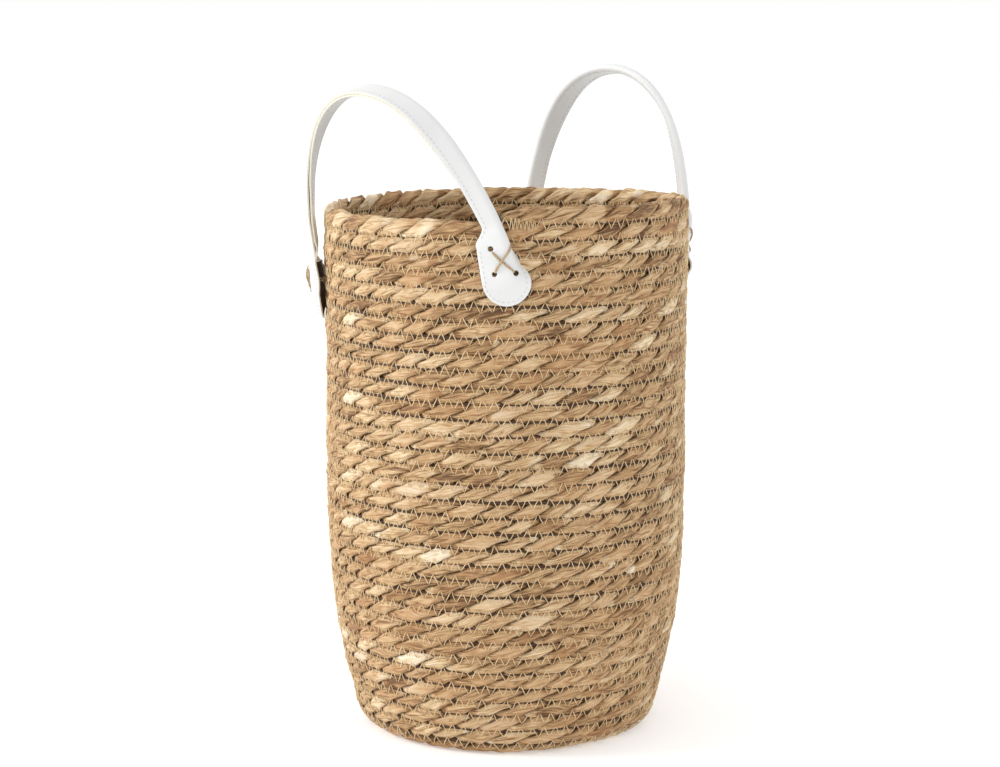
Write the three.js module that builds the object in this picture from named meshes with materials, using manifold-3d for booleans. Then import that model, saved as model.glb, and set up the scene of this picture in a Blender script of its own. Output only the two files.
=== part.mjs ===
// A tall laundry basket wound from one long two-ply straw rope, with two strap handles.
// Millimetres, +Z up. The origin is the centre of the base, on the floor. The front handle
// is on the -Y side and the rear handle on the +Y side, each with a tab to its left and right.
import * as THREE from "three";
import { mergeVertices } from "three/addons/utils/BufferGeometryUtils.js";
import Module from "manifold-3d";

const wasm = await Module();
wasm.setup();

// Gap kept between pieces that touch.
const GAP = 0.3;

// The coiled body. The last turn of the rope is a course of its own, which climbs one course
// on its way round and ends, pressed flat, beside the front right tab.
const ROPE_THICKNESS = 10;
const COURSE_HEIGHT = 13.6;
const RIM_HEIGHT = 463;
const TAIL_ANGLE = -47;
const TAIL_SHARE = 0.05;
const TAIL_FLATTENING = 0.25;
const TURN_STEPS = 60;
// Outer radius of the wall at some heights, as [radius, height].
const WALL_PROFILE = [
  [128.5, 0],
  [138, 28],
  [146.4, 65],
  [157, 140],
  [159, 200],
  [159, 340],
  [160, RIM_HEIGHT],
];
const PROFILE_STEPS = 8;

// The stitches that hold the flattened tail of the rope.
const THREAD_RADIUS = 0.5;
const TAIL_STITCHES = 7;
const TAIL_STITCH_SPACING = 3;
// Angle from the tail's end to the first of them.
const TAIL_STITCH_START = 3;

// The strap: a flat strip, folded lengthwise along the grip, opened flat in the tabs.
const GRIP_WIDTH = 20;
const FOLD_RADIUS = 4;
const RAW_EDGE_HALF_THICKNESS = 2;
const STRAP_STEPS = 18;
const TAB_THICKNESS = 2;
const TAB_WIDTH = 41;
const TAB_TOP_WIDTH = 29;
// How far the upper end of a tab lies towards the middle of its handle.
const TAB_TOP_SHIFT = 4;
const TAB_ABOVE_TIE = 19;
const TAB_BELOW_TIE = 37;
const TAB_CORNER = 5;
const TAB_LEAN = 10;
const NECK_ROOT = 6;
const LEG_LEAN = 32;
// The strap creases at this height, on its outer side, when a handle falls outwards.
const HINGE_HEIGHT = 472;
const SEAM_INSET = 3.2;

// The twine that ties each tab to the wall, crossed through four holes.
const TWINE_RADIUS = 1;
const HOLE_RADIUS = 1.85;
const WALL_HOLE_RADIUS = 1.5;
const HOLE_HALF_SPACING = 8.75;
const HOLE_RISE = 10.5;
const HOLE_MARGIN = 4.5;

// Each handle: the angle from the front that its middle faces, half the angle between its
// tabs, its apex, how far its curve keeps each end's direction, how far its legs bow off the
// wall, and each tab's tie height and tilt.
const HANDLES = [
  {
    name: "front",
    turn: 2,
    spread: 42,
    apex: { radius: 171, height: 562, tilt: 15 },
    reach: { leg: 26, apex: 81 },
    bow: 0.06,
    tabs: { left: { tie: 397, flare: 8 }, right: { tie: 426, flare: 3 } },
  },
  {
    name: "rear",
    turn: 184,
    spread: 34,
    apex: { radius: 150, height: 576, tilt: 12 },
    reach: { leg: 13, apex: 82 },
    bow: 0.08,
    tabs: { left: { tie: 422, flare: 3 }, right: { tie: 424, flare: 3 } },
  },
];

const COLOURS = {
  rope: 0xb8986f,
  thread: 0xd7be8c,
  strap: 0xf7f7f5,
  twine: 0xc9a877,
};

const vec = (x, y, z) => new THREE.Vector3(x, y, z);
const radians = THREE.MathUtils.degToRad;

function material(colour, roughness) {
  return new THREE.MeshStandardMaterial({ color: colour, roughness, metalness: 0 });
}

function named(name, geometry, look) {
  const mesh = new THREE.Mesh(geometry, look);
  mesh.name = name;
  return mesh;
}

// --- Solids -------------------------------------------------------------------------------

// A closed body through rings of equal length, each counter-clockwise about the way it goes.
function loft(rings) {
  const count = rings[0].length;
  const middle = (ring) => ring.reduce((sum, p) => sum.add(p), vec(0, 0, 0)).divideScalar(count);
  const points = [...rings.flat(), middle(rings[0]), middle(rings.at(-1))];
  const start = points.length - 2;
  const lastRing = start - count;
  const faces = [];
  for (let j = 0; j < count; j++) {
    const next = (j + 1) % count;
    for (let base = 0; base < lastRing; base += count) {
      faces.push(base + j, base + next, base + count + next);
      faces.push(base + j, base + count + next, base + count + j);
    }
    faces.push(start, next, j);
    faces.push(start + 1, lastRing + j, lastRing + next);
  }
  return new THREE.BufferGeometry().setFromPoints(points).setIndex(faces);
}

// A tube of few sides along a list of points, turned no more than the points make it.
function tube(points, radius, sides) {
  const along = (i) => {
    const before = points[Math.max(i - 1, 0)];
    const after = points[Math.min(i + 1, points.length - 1)];
    return after.clone().sub(before).normalize();
  };
  let side = vec(0, 0, 1).cross(along(0));
  if (side.length() < 0.1) side = vec(1, 0, 0);
  const rings = points.map((point, i) => {
    const tangent = along(i);
    side.addScaledVector(tangent, -side.dot(tangent)).normalize();
    const up = tangent.clone().cross(side);
    return Array.from({ length: sides }, (_, k) => {
      const angle = (2 * Math.PI * k) / sides;
      return point
        .clone()
        .addScaledVector(side, radius * Math.cos(angle))
        .addScaledVector(up, radius * Math.sin(angle));
    });
  });
  return loft(rings);
}

function toSolid(geometry) {
  const bare = geometry.clone();
  bare.deleteAttribute("normal");
  bare.deleteAttribute("uv");
  const merged = mergeVertices(bare, 1e-4);
  return new wasm.Manifold(
    new wasm.Mesh({
      numProp: 3,
      vertProperties: merged.attributes.position.array,
      triVerts: new Uint32Array(merged.index.array),
    }),
  );
}

function toGeometry(solid) {
  const { vertProperties, triVerts } = solid.getMesh();
  const geometry = new THREE.BufferGeometry();
  geometry.setAttribute("position", new THREE.BufferAttribute(vertProperties, 3));
  geometry.setIndex(new THREE.BufferAttribute(triVerts, 1));
  return geometry;
}

// --- Rope ---------------------------------------------------------------------------------

const profileCurve = new THREE.SplineCurve(WALL_PROFILE.map((p) => new THREE.Vector2(...p)));
const profilePoints = profileCurve.getPoints(PROFILE_STEPS * 4);

function wallRadius(height) {
  const above = profilePoints.findIndex((p) => p.y >= height);
  if (above < 0) return profilePoints.at(-1).x;
  if (above === 0) return profilePoints[0].x;
  const [low, high] = [profilePoints[above - 1], profilePoints[above]];
  return THREE.MathUtils.mapLinear(height, low.y, high.y, low.x, high.x);
}

// Turns a [radius, height] outline about the Z axis.
function turned(outline) {
  const points = outline.map(([radius, height]) => new THREE.Vector2(radius, height));
  return new THREE.LatheGeometry(points, TURN_STEPS).rotateX(Math.PI / 2);
}

function baseCoil() {
  const edge = (height) => wallRadius(height) - ROPE_THICKNESS - GAP;
  return turned([
    [0, 0],
    [edge(0), 0],
    [edge(ROPE_THICKNESS), ROPE_THICKNESS],
    [0, ROPE_THICKNESS],
  ]);
}

// Underside of the last turn of the rope, from its start (share 0) to its tail (share 1).
const lastTurnBottom = (share) => RIM_HEIGHT + COURSE_HEIGHT * (share - 1.5);
const lastTurnAngle = (share) => radians(TAIL_ANGLE - 360 * share);

// A ring of points across the last turn, counter-clockwise about the way the rope climbs.
function ropeSection(share, outline) {
  const angle = lastTurnAngle(share);
  return outline.map(([radius, height]) =>
    vec(radius * Math.cos(angle), radius * Math.sin(angle), height),
  );
}

function turnShares(from, to, steps) {
  return Array.from({ length: steps + 1 }, (_, i) => from + ((to - from) * i) / steps);
}

// Everything above the underside of the last turn, over a stretch of that turn.
function aboveWall(from, to) {
  const clear = 2 * ROPE_THICKNESS;
  const [inner, outer] = [wallRadius(RIM_HEIGHT) - clear, wallRadius(RIM_HEIGHT) + clear];
  const top = RIM_HEIGHT + clear;
  const rings = turnShares(from, to, TURN_STEPS / 2).map((share) => {
    const bottom = lastTurnBottom(share);
    return ropeSection(share, [
      [inner, bottom],
      [outer, bottom],
      [outer, top],
      [inner, top],
    ]);
  });
  return toSolid(loft(rings));
}

function wallCoil(holes) {
  const heights = Array.from({ length: PROFILE_STEPS + 1 }, (_, i) => {
    const share = (i / PROFILE_STEPS) ** 1.5;
    return share * (RIM_HEIGHT + COURSE_HEIGHT);
  });
  const outside = heights.map((height) => [wallRadius(height), height]);
  const inside = outside.map(([radius, height]) => [radius - ROPE_THICKNESS, height]);
  const shell = toSolid(turned([...outside, ...inside.reverse(), outside[0]]));
  // The two halves of the cut pass each other a little, so that no sliver stays between them.
  const topped = shell.subtract(aboveWall(0, 0.5)).subtract(aboveWall(0.499, 1.001));
  return toGeometry(holes.reduce((wall, hole) => wall.subtract(hole), topped));
}

function rimCoil() {
  const outer = wallRadius(RIM_HEIGHT);
  const inner = outer - ROPE_THICKNESS;
  const shares = turnShares(0, 1, TURN_STEPS);
  shares[0] = 1 / (10 * TURN_STEPS);
  const rings = shares.map((share) => {
    const bottom = lastTurnBottom(share) + GAP;
    const intoTail = THREE.MathUtils.smoothstep(share, 1 - TAIL_SHARE, 1);
    const height = (COURSE_HEIGHT - GAP) * (1 - TAIL_FLATTENING * intoTail);
    const bevel = height / 4;
    return ropeSection(share, [
      [inner, bottom],
      [outer, bottom],
      [outer, bottom + height - bevel],
      [outer - bevel, bottom + height],
      [inner + bevel, bottom + height],
      [inner, bottom + height - bevel],
    ]);
  });
  return loft(rings);
}

// One thread that zigzags over the outside of the tail, from its top down to the course below.
function tailStitching() {
  const radius = wallRadius(RIM_HEIGHT) + THREAD_RADIUS + GAP;
  const [top, bottom] = [RIM_HEIGHT, RIM_HEIGHT - COURSE_HEIGHT];
  const points = Array.from({ length: 2 * TAIL_STITCHES + 1 }, (_, i) => {
    const angle = radians(TAIL_ANGLE + TAIL_STITCH_START) + (i * TAIL_STITCH_SPACING) / 2 / radius;
    return vec(radius * Math.cos(angle), radius * Math.sin(angle), i % 2 ? bottom : top);
  });
  return tube(points, THREAD_RADIUS, 5);
}

// --- Tabs and their ties ------------------------------------------------------------------

// A tab's own frame: x along the wall, y up the tab, z away from the wall, from its tie.
// inner is the x direction in which the middle of the handle lies.
function tabFrame(side, spread, { tie, flare }) {
  const inner = side === "right" ? -1 : 1;
  const angle = radians(-90 - inner * spread);
  const outward = vec(Math.cos(angle), Math.sin(angle), 0);
  const sideways = vec(0, 0, 1).cross(outward);
  const up = vec(0, 0, Math.cos(radians(TAB_LEAN)))
    .addScaledVector(sideways, inner * Math.sin(radians(TAB_LEAN)))
    .addScaledVector(outward, Math.tan(radians(flare)))
    .normalize();
  const x = up.clone().cross(outward).normalize();
  const z = x.clone().cross(up);
  // The tab's lower end rests against the wall.
  const standOff = GAP + TAB_BELOW_TIE * Math.sin(radians(flare));
  const origin = outward.clone().multiplyScalar(wallRadius(tie) + standOff);
  origin.z = tie;
  const matrix = new THREE.Matrix4().makeBasis(x, up, z).setPosition(origin);
  const at = (along, above, out) => vec(inner * along, above, out).applyMatrix4(matrix);
  const legWay = vec(0, 0, Math.cos(radians(LEG_LEAN))).addScaledVector(
    sideways,
    inner * Math.sin(radians(LEG_LEAN)),
  );
  // How far behind the tab the wall's face is, which grows up the tab where it is tilted.
  const toWall = (above) =>
    (standOff + above * Math.sin(radians(flare))) / Math.cos(radians(flare));
  return { inner, matrix, at, legWay, outward: z, toWall };
}

// The pear-shaped outline of a tab, drawn in by an inset, as [towards the handle's middle, up].
function tabOutline(inset) {
  const radius = TAB_WIDTH / 2 - inset;
  const centre = TAB_WIDTH / 2 - TAB_BELOW_TIE;
  const top = TAB_ABOVE_TIE - inset;
  const inner = TAB_TOP_SHIFT + TAB_TOP_WIDTH / 2 - inset;
  const outer = TAB_TOP_SHIFT - TAB_TOP_WIDTH / 2 + inset;
  const besideHoles = inset - HOLE_HALF_SPACING - HOLE_MARGIN;
  const outline = new THREE.Path();
  outline.moveTo(outer, top);
  outline.quadraticCurveTo(besideHoles, 0, -radius, centre);
  outline.absarc(0, centre, radius, Math.PI, 2 * Math.PI, false);
  outline.quadraticCurveTo(radius, top / 3, inner, top - TAB_CORNER);
  outline.quadraticCurveTo(inner, top, inner - TAB_CORNER, top);
  return outline.getPoints(6);
}

const holePlaces = [
  [-HOLE_HALF_SPACING, HOLE_RISE],
  [HOLE_HALF_SPACING, HOLE_RISE],
  [-HOLE_HALF_SPACING, -HOLE_RISE],
  [HOLE_HALF_SPACING, -HOLE_RISE],
];

function tabPlate(frame) {
  const shape = new THREE.Shape(
    tabOutline(0).map((p) => new THREE.Vector2(frame.inner * p.x, p.y)),
  );
  // A hole runs the other way round from the outline, which the mirroring turns.
  for (const [x, y] of holePlaces) {
    shape.holes.push(
      new THREE.Path().absarc(x, y, HOLE_RADIUS, 0, 2 * Math.PI, frame.inner > 0),
    );
  }
  const options = { depth: TAB_THICKNESS, bevelEnabled: false, curveSegments: 4 };
  const plate = new THREE.ExtrudeGeometry(shape, options);
  return toSolid(plate.applyMatrix4(frame.matrix));
}

// The seam runs round the tab, below the folded strap and clear of the outer upper hole.
function tabSeam(frame) {
  const out = TAB_THICKNESS + THREAD_RADIUS + GAP;
  const highest = (p) => (p.x > 0 ? TAB_ABOVE_TIE - NECK_ROOT - 2 * THREAD_RADIUS : 0);
  const line = tabOutline(SEAM_INSET).filter((p) => p.y < highest(p));
  return tube(line.map((p) => frame.at(p.x, p.y, out)), THREAD_RADIUS, 4);
}

// The twine goes in and out through the four holes, crosses in front and is tied inside.
function tieLine(frame) {
  const front = TAB_THICKNESS + TWINE_RADIUS + GAP;
  const inside = (above) =>
    -(frame.toWall(above) + ROPE_THICKNESS + TWINE_RADIUS + 3 * GAP);
  const [across, rise] = [HOLE_HALF_SPACING, HOLE_RISE];
  const turn = TWINE_RADIUS;
  const over = front + 2 * TWINE_RADIUS + GAP;
  const diagonal = (from, to, middle) => [
    [from * across, rise, front - turn],
    [(from * across * 2) / 3, (rise * 2) / 3, (front + middle) / 2],
    [(to * across) / 4, -rise / 4, middle],
    [(to * across * 2) / 3, (-rise * 2) / 3, (front + middle) / 2],
    [to * across, -rise, front - turn],
  ];
  return [
    [-across, turn, inside(0)],
    [-across, rise - turn, inside(rise)],
    [-across, rise, inside(rise) + turn],
    ...diagonal(-1, 1, front),
    [across, -rise, inside(-rise) + turn],
    [across, turn - rise, inside(-rise)],
    [across, rise - turn, inside(rise)],
    [across, rise, inside(rise) + turn],
    ...diagonal(1, -1, over),
    [-across, -rise, inside(-rise) + turn],
    [-across, turn - rise, inside(-rise)],
    [-across, -turn, inside(0)],
  ].map((point) => frame.at(...point));
}

function tieHoles(frame) {
  return holePlaces.map(([x, y]) => {
    const ends = [0, -(frame.toWall(y) + 2 * ROPE_THICKNESS)];
    return toSolid(tube(ends.map((out) => frame.at(x, y, out)), WALL_HOLE_RADIUS, 8));
  });
}

// --- Handles ------------------------------------------------------------------------------

// The folded strip's section as [towards the raw edges, away from the wall].
const GRIP_SECTION = [
  [GRIP_WIDTH / 2, -RAW_EDGE_HALF_THICKNESS],
  [GRIP_WIDTH / 2, RAW_EDGE_HALF_THICKNESS],
  ...Array.from({ length: 5 }, (_, i) => {
    const angle = Math.PI / 2 + (i * Math.PI) / 4;
    const middle = FOLD_RADIUS - GRIP_WIDTH / 2;
    return [middle + FOLD_RADIUS * Math.cos(angle), FOLD_RADIUS * Math.sin(angle)];
  }),
];

// The line that the strap follows from its right tab over the apex to its left tab.
function strapLine({ apex, reach, bow }, right, left) {
  const shift = TAB_TOP_SHIFT + (GRIP_WIDTH - TAB_TOP_WIDTH) / 2;
  const out = FOLD_RADIUS + GAP;
  const shoulder = (frame) => frame.at(shift, TAB_ABOVE_TIE, out);
  const root = (frame) => frame.at(shift, TAB_ABOVE_TIE - NECK_ROOT, out);
  const leg = (frame) => {
    const way = frame.legWay.clone().addScaledVector(frame.outward, bow);
    return shoulder(frame).addScaledVector(way, reach.leg);
  };
  const top = vec(0, -apex.radius, apex.height);
  const half = (frame) => {
    const nearTop = top.clone().setX(-frame.inner * reach.apex);
    return new THREE.CubicBezierCurve3(shoulder(frame), leg(frame), nearTop, top);
  };
  const rightHalf = half(right).getPoints(STRAP_STEPS);
  const leftHalf = half(left).getPoints(STRAP_STEPS);
  return [root(right), ...rightHalf, ...leftHalf.reverse().slice(1), root(left)];
}

// The strap's frame at each point of its line: raw points to the raw edges, face away from them.
function strapFrames(line, { apex }, right, left) {
  const apexFace = vec(0, -Math.sin(radians(apex.tilt)), Math.cos(radians(apex.tilt)));
  const last = line.length - 1;
  return line.map((point, i) => {
    const before = line[Math.max(i - 1, 0)];
    const after = line[Math.min(i + 1, last)];
    const tangent = after.clone().sub(before).normalize();
    const tabFace = i < last / 2 ? right.outward : left.outward;
    const toApex = THREE.MathUtils.smoothstep(1 - Math.abs((2 * i) / last - 1), 0, 1);
    const face = tabFace.clone().lerp(apexFace, toApex);
    face.addScaledVector(tangent, -face.dot(tangent)).normalize();
    const raw = face.clone().cross(tangent);
    return { point, raw, face };
  });
}

function strapSolid(frames) {
  const rings = frames.map(({ point, raw, face }) =>
    GRIP_SECTION.map(([across, out]) =>
      point.clone().addScaledVector(raw, across).addScaledVector(face, out),
    ),
  );
  return toSolid(loft(rings));
}

function gripSeam(frames) {
  const across = GRIP_WIDTH / 2 - SEAM_INSET;
  const out = FOLD_RADIUS + THREAD_RADIUS;
  const line = frames.map(({ point, raw, face }) =>
    point.clone().addScaledVector(raw, across).addScaledVector(face, out),
  );
  return toSolid(tube(line, THREAD_RADIUS, 4));
}

// A box from the hinge height up or down, on one side of the handle's middle or on both.
function halfSpace(up, side = 0) {
  const size = 1000;
  const box = new THREE.BoxGeometry(size, size, size);
  const shift = size / 2 + GAP / 2;
  box.translate((side * size) / 2, 0, HINGE_HEIGHT + (up ? shift : -shift));
  return toSolid(box);
}

// --- Assembly -----------------------------------------------------------------------------

const rope = material(COLOURS.rope, 0.9);
const thread = material(COLOURS.thread, 0.8);
const strap = material(COLOURS.strap, 0.5);
const twine = material(COLOURS.twine, 0.85);

const wallHoles = [];

// Builds one handle at the front of the basket, then turns it to where it faces.
function handle(setup) {
  const { name, turn, spread, tabs } = setup;
  const group = new THREE.Group();
  group.rotation.z = radians(turn);
  const frames = {
    right: tabFrame("right", spread, tabs.right),
    left: tabFrame("left", spread, tabs.left),
  };
  const line = strapLine(setup, frames.right, frames.left);
  const stations = strapFrames(line, setup, frames.right, frames.left);
  const whole = strapSolid(stations);
  group.add(named(`${name}_handle_grip`, toGeometry(whole.intersect(halfSpace(true))), strap));
  const seam = gripSeam(stations).intersect(halfSpace(true));
  group.add(named(`${name}_handle_grip_seam`, toGeometry(seam), thread));
  for (const [side, frame] of Object.entries(frames)) {
    // Seen from the front, a handle that is turned to the rear has its own right on the left.
    const seen = turn > 90 ? { right: "left", left: "right" }[side] : side;
    const neck = whole.intersect(halfSpace(false, side === "right" ? 1 : -1));
    const tab = tabPlate(frame).add(neck);
    group.add(named(`${name}_${seen}_tab`, toGeometry(tab), strap));
    group.add(named(`${name}_${seen}_tab_seam`, tabSeam(frame), thread));
    group.add(named(`${name}_${seen}_tie`, tube(tieLine(frame), TWINE_RADIUS, 6), twine));
    const about = new THREE.Matrix4().makeRotationZ(radians(turn));
    for (const hole of tieHoles(frame)) wallHoles.push(hole.transform(about.toArray()));
  }
  return group;
}

const basket = new THREE.Group();
for (const setup of HANDLES) basket.add(handle(setup));
basket.add(named("base_coil", baseCoil(), rope));
basket.add(named("wall_coil", wallCoil(wallHoles), rope));
basket.add(named("rim_coil", rimCoil(), rope));
basket.add(named("tail_stitching", tailStitching(), thread));

export default basket;
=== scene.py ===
"""Looks of the woven laundry basket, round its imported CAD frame.

One long two-ply straw rope is wound in a spiral, from the centre of the base out and up the wall,
and each turn is sewn to the next with zigzag thread. Two straps, folded lengthwise, open into
tabs that twine ties to the wall. Metres, +Z up, in the CAD's frame.
"""

import math

import bpy
import numpy as np
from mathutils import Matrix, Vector

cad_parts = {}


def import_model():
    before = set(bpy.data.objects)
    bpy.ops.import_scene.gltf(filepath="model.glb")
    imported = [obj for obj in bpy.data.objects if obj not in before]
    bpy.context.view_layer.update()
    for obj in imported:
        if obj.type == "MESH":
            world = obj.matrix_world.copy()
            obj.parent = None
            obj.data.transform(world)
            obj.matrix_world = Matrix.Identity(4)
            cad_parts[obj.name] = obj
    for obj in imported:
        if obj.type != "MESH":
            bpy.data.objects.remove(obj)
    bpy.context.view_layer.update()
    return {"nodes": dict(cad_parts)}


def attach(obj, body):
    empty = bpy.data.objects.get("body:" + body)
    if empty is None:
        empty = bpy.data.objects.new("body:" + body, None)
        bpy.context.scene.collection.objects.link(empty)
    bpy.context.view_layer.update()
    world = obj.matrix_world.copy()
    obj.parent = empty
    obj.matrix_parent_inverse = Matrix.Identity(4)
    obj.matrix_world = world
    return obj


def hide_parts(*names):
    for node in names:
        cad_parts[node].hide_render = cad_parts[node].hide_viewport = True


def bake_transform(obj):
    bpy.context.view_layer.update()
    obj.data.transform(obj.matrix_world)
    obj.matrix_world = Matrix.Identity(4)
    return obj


MM = 0.001

# The rope and its winding, which match the CAD's coils.
ROPE_THICKNESS = 10 * MM
COURSE_HEIGHT = 13.6 * MM
RIM_HEIGHT = 463 * MM
TAIL_ANGLE = math.radians(-47)
TAIL_LENGTH = 50 * MM
TAIL_FLATTENING = 0.25
ROPE_START = 0.55
ROPE_STEP = 2.5 * MM
ROPE_TAPER = 8 * MM
STRAND_SIDES = 16
PLY_LENGTH = 52 * MM
PLIES = 2
BASE_RADIUS = 115 * MM
COURSES_PER_PIECE = 4
RINGS_PER_BAKE_ROW = 160

# A ply's oval section, in halves of the rope's thickness: how far its middle is from the rope's,
# and its half sizes along that line and square to it. The rim is fuller, with no course on it.
PLY_OFFSET = 0.47
PLY_DEPTH = 0.55
PLY_WIDTH = 0.9
RIM_EXTRA_WIDTH = 0.05
RIB_DEPTH = 0.06
# How much higher the rope is than a course, since each course is pressed into the next.
COURSE_OVERLAP = 1.12

# How irregular the rope is.
SIDEWAYS_WANDER = 0.8 * MM
OUTWARD_WANDER = 0.8 * MM
WANDER_LENGTH = 70 * MM
SIZE_VARIATION = 0.16
PHASE_VARIATION = 0.75
# How much slower the plies turn where they meet on a face than where one lies on it.
PHASE_LAG = 0.1

# How far the fibres turn back in a ply, which leaves them almost along the rope.
FIBRE_TWIST = 1.15

# The straw's colours by tone, from 0 dark to 1 pale, and how its tones vary.
STRAW_COLOURS = (
    (0.0, (98, 66, 38)),
    (0.26, (164, 127, 85)),
    (0.5, (206, 173, 129)),
    (0.76, (230, 208, 171)),
    (1.0, (241, 226, 202)),
)
MIDDLE_TONE = 0.47
TONE_DRIFT = 0.1
LEAF_TONE_SPREAD = 0.115
PALE_LEAVES = 0.035
PALE_STEP = 0.3

# The crushed straw between two turns.
FILLER_DEPTH = 6.4 * MM
FILLER_HEIGHT = 6 * MM
FILLER_SIDES = 6

# Zigzag stitches, from this turn out to the rim.
FIRST_STITCHED_TURN = 1.6
THREAD_RADIUS = 0.37 * MM
STITCH_LENGTH = 9.4 * MM
STITCH_REACH = 5.3 * MM
STITCH_JITTER = (0.9 * MM, 0.7 * MM)
SAMPLES_PER_STITCH = 8
TAIL_STITCH_LENGTH = 3 * MM
TAIL_STITCHES_FROM = math.radians(3)
TAIL_STITCHES = 7

STRAY_FIBRES = 420
FIRST_WALL_TURN = 9.5

# The straps. Their grips and tabs are sized as in the CAD.
GRIP_WIDTH = 20 * MM
FOLD_RADIUS = 4 * MM
GAP = 0.3 * MM
TAB_RADIUS = 20.5 * MM
TAB_TOP_WIDTH = 29 * MM
TAB_TOP_SHIFT = 4 * MM
TAB_ABOVE_TIE = 19 * MM
TAB_BELOW_TIE = 37 * MM
TAB_LEAN = math.radians(10)
LEG_LEAN = math.radians(32)
# Each hole as (towards the handle's middle, over the tie's middle).
NEAR_HIGH = np.array([7.3, 12.8]) * MM
NEAR_LOW = np.array([8.1, -8.8]) * MM
FAR_LOW = np.array([-9.4, -10.5]) * MM
FAR_HIGH = np.array([-10.6, 16]) * MM
HOLE_RADIUS = 2.4 * MM
# The twine goes through the wall this far from the tie's middle, and twice this far on its
# other side, towards the handle's middle.
WALL_HOLE = 3.5 * MM
SHEET_THICKNESS = 1.8 * MM
FOLD_ARC = 10 * MM
SEAM_INSET = 3.2 * MM
SEAM_STITCH = 3 * MM
SEAM_PITCH = 4.2 * MM
SEAM_RADIUS = 0.3 * MM
TWINE_RADIUS = 1 * MM
TWINE_PLY_LENGTH = 5 * MM
# The strap's rings: close together over each end's round, then even.
END_LENGTH = 20 * MM
END_RINGS = 18
EVEN_RINGS = 210
# Degrees a tab slopes out from its near edge, degrees it curls there, and mm that edge sinks.
FLAT_TAB = {"tent": 12, "curl": 0, "dip": 0}
ARCHED_TAB = {"tent": 4, "curl": 40, "dip": 5}
# turn is degrees round the basket from the front, spread degrees from the handle's middle to each
# tab, and apex the grip's top as (radius, height, tilt in degrees). reach is the length of the
# curve's arms over a tab and at the apex, and bow how much a leg leans out. A tab is (height of
# its tie, degrees it flares from the wall, shape). Lengths are mm.
HANDLES = {
    "front": {
        "turn": 2,
        "spread": 42,
        "apex": (171, 562, 15),
        "reach": (26, 81),
        "bow": 0.06,
        "tabs": {"right": (426, 3, FLAT_TAB), "left": (397, 8, ARCHED_TAB)},
    },
    "rear": {
        "turn": 184,
        "spread": 34,
        "apex": (150, 576, 12),
        "reach": (13, 82),
        "bow": 0.08,
        "tabs": {"right": (424, 3, FLAT_TAB), "left": (422, 3, FLAT_TAB)},
    },
}


# --- Small tools ---


def smoothstep(x):
    x = np.clip(x, 0, 1)
    return x * x * (3 - 2 * x)


def noise_along(lengths, period, seed):
    """Smooth noise from -1 to 1 along a rope, at these lengths of it."""
    x = np.asarray(lengths) / period
    knots = np.random.default_rng(seed).uniform(-1, 1, int(x.max()) + 3)
    whole = np.floor(x).astype(int)
    share = smoothstep(x - whole)
    return knots[whole] * (1 - share) + knots[whole + 1] * share


def unit(vectors):
    return vectors / np.linalg.norm(vectors, axis=-1, keepdims=True)


def line_lengths(points):
    """How far along a line each of its points is."""
    steps = np.linalg.norm(np.diff(points, axis=0), axis=1)
    return np.concatenate([[0], np.cumsum(steps)])


def rows_at(places, along, rows):
    """Rows at places along a line, read off between the rows that it has."""
    return np.stack([np.interp(places, along, column) for column in rows.T], -1)


def resample(points, shares, *others):
    """Points (and other rows given with them) at these shares of the line's length."""
    along = line_lengths(points)
    places = shares * along[-1]
    return [rows_at(places, along, rows) for rows in (points, *others)], along[-1]


def smoothed(rows, width):
    """Rows averaged with their neighbours; both ends go straight on."""
    before = 2 * rows[0] - rows[width:0:-1]
    after = 2 * rows[-1] - rows[-2 : -width - 2 : -1]
    padded = np.concatenate([before, rows, after])
    kernel = np.ones(2 * width + 1) / (2 * width + 1)
    return np.stack([np.convolve(c, kernel, "valid") for c in padded.T], -1)


def circle(sides):
    """Angles evenly round a circle."""
    return 2 * np.pi * np.arange(sides) / sides


def rings_at(centres, x, one, y, two):
    """Rings of points: x and y along two directions, off each centre."""
    return centres[:, None] + x[..., None] * one[:, None] + y[..., None] * two[:, None]


def tube_faces(stations, sides):
    ring = np.arange(stations - 1)[:, None] * sides
    side = np.arange(sides)[None, :]
    after = (side + 1) % sides
    quads = [ring + side, ring + sides + side, ring + sides + after, ring + after]
    return np.stack(quads, -1).reshape(-1, 4)


def tube(rings):
    """The points and faces of a tube through rings of points."""
    return rings.reshape(-1, 3), tube_faces(*rings.shape[:2])


def tube_uvs(u, v):
    """UVs for tube_faces, from u and v for each station and for each side and one more."""
    grid = np.stack(np.broadcast_arrays(u, v), -1)
    corners = [grid[:-1, :-1], grid[1:, :-1], grid[1:, 1:], grid[:-1, 1:]]
    return np.stack(corners, 2).reshape(-1, 4, 2)


def row_uvs(stations, sides, per_row, first_row, rows):
    """Bake UVs that lay a long tube out in rows, one above the other."""
    index = np.arange(stations - 1)
    row = first_row + index // per_row
    left = (index % per_row) / per_row
    right = left + 1 / per_row
    low = np.arange(sides) / sides * 0.86 + 0.07
    high = low + 0.86 / sides
    u = np.stack([left, right, right, left], -1)[:, None, :].repeat(sides, 1)
    v = np.stack([low, low, high, high], -1)[None].repeat(stations - 1, 0)
    v = (row[:, None, None] + v) / rows
    return np.stack([u * 0.99 + 0.005, v], -1).reshape(-1, 4, 2)


def rows_needed(stations, per_row):
    return -(-(stations - 1) // per_row)


def add_object(name, data):
    made = bpy.data.objects.new(name, data)
    bpy.context.scene.collection.objects.link(made)
    return made


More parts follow.
